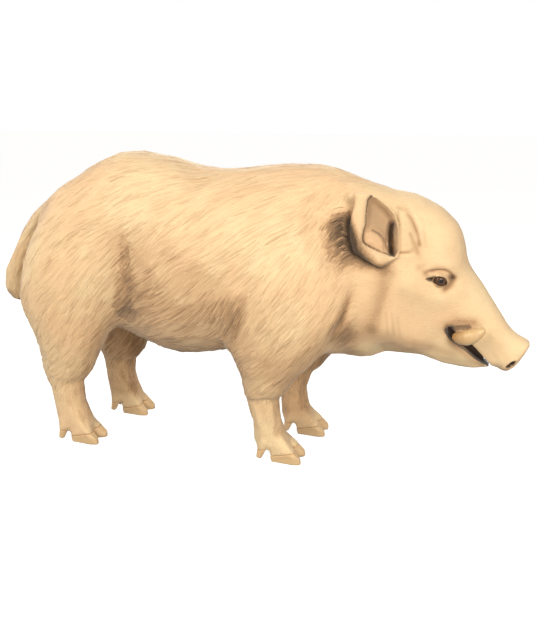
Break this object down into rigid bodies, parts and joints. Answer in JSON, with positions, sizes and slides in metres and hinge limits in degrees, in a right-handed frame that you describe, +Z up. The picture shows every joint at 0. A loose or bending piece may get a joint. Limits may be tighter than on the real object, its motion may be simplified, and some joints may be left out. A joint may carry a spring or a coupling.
{
  "type": "wild boar",
  "caption": "Life-size standing adult male wild boar with a pale sandy coat, short tusks, upright ears and hanging tail, feet flat on the floor.",
  "frame": {"origin": "on the floor, under the middle of the animal's box", "axes": "+X towards the snout, +Y to the animal's left, +Z up"},
  "size_m": [1.6954, 0.4536, 0.9176],
  "materials": {
    "coat": "short coarse fur over skin, matt",
    "hoof": "worn horn, satin",
    "tusk": "ivory, smooth",
    "eye": "wet, glossy"
  },
  "bodies": {
    "root": {"eye_right": "eye", "tusk_right": "tusk", "eye_left": "eye", "tusk_left": "tusk", "trunk": "coat", "neck": "coat", "head": "coat", "lower_jaw": "coat", "tail": "coat", "ear_right": "coat", "ear_left": "coat", "leg_fore_right": "coat", "foot_fore_right": "coat", "hoof_fore_right_outer": "hoof", "dewclaw_fore_right_outer": "hoof", "hoof_fore_right_inner": "hoof", "dewclaw_fore_right_inner": "hoof", "leg_fore_left": "coat", "foot_fore_left": "coat", "hoof_fore_left_outer": "hoof", "dewclaw_fore_left_outer": "hoof", "hoof_fore_left_inner": "hoof", "dewclaw_fore_left_inner": "hoof", "leg_hind_right": "coat", "foot_hind_right": "coat", "hoof_hind_right_outer": "hoof", "dewclaw_hind_right_outer": "hoof", "hoof_hind_right_inner": "hoof", "dewclaw_hind_right_inner": "hoof", "leg_hind_left": "coat", "foot_hind_left": "coat", "hoof_hind_left_outer": "hoof", "dewclaw_hind_left_outer": "hoof", "hoof_hind_left_inner": "hoof", "dewclaw_hind_left_inner": "hoof"}
  },
  "joints": []
}
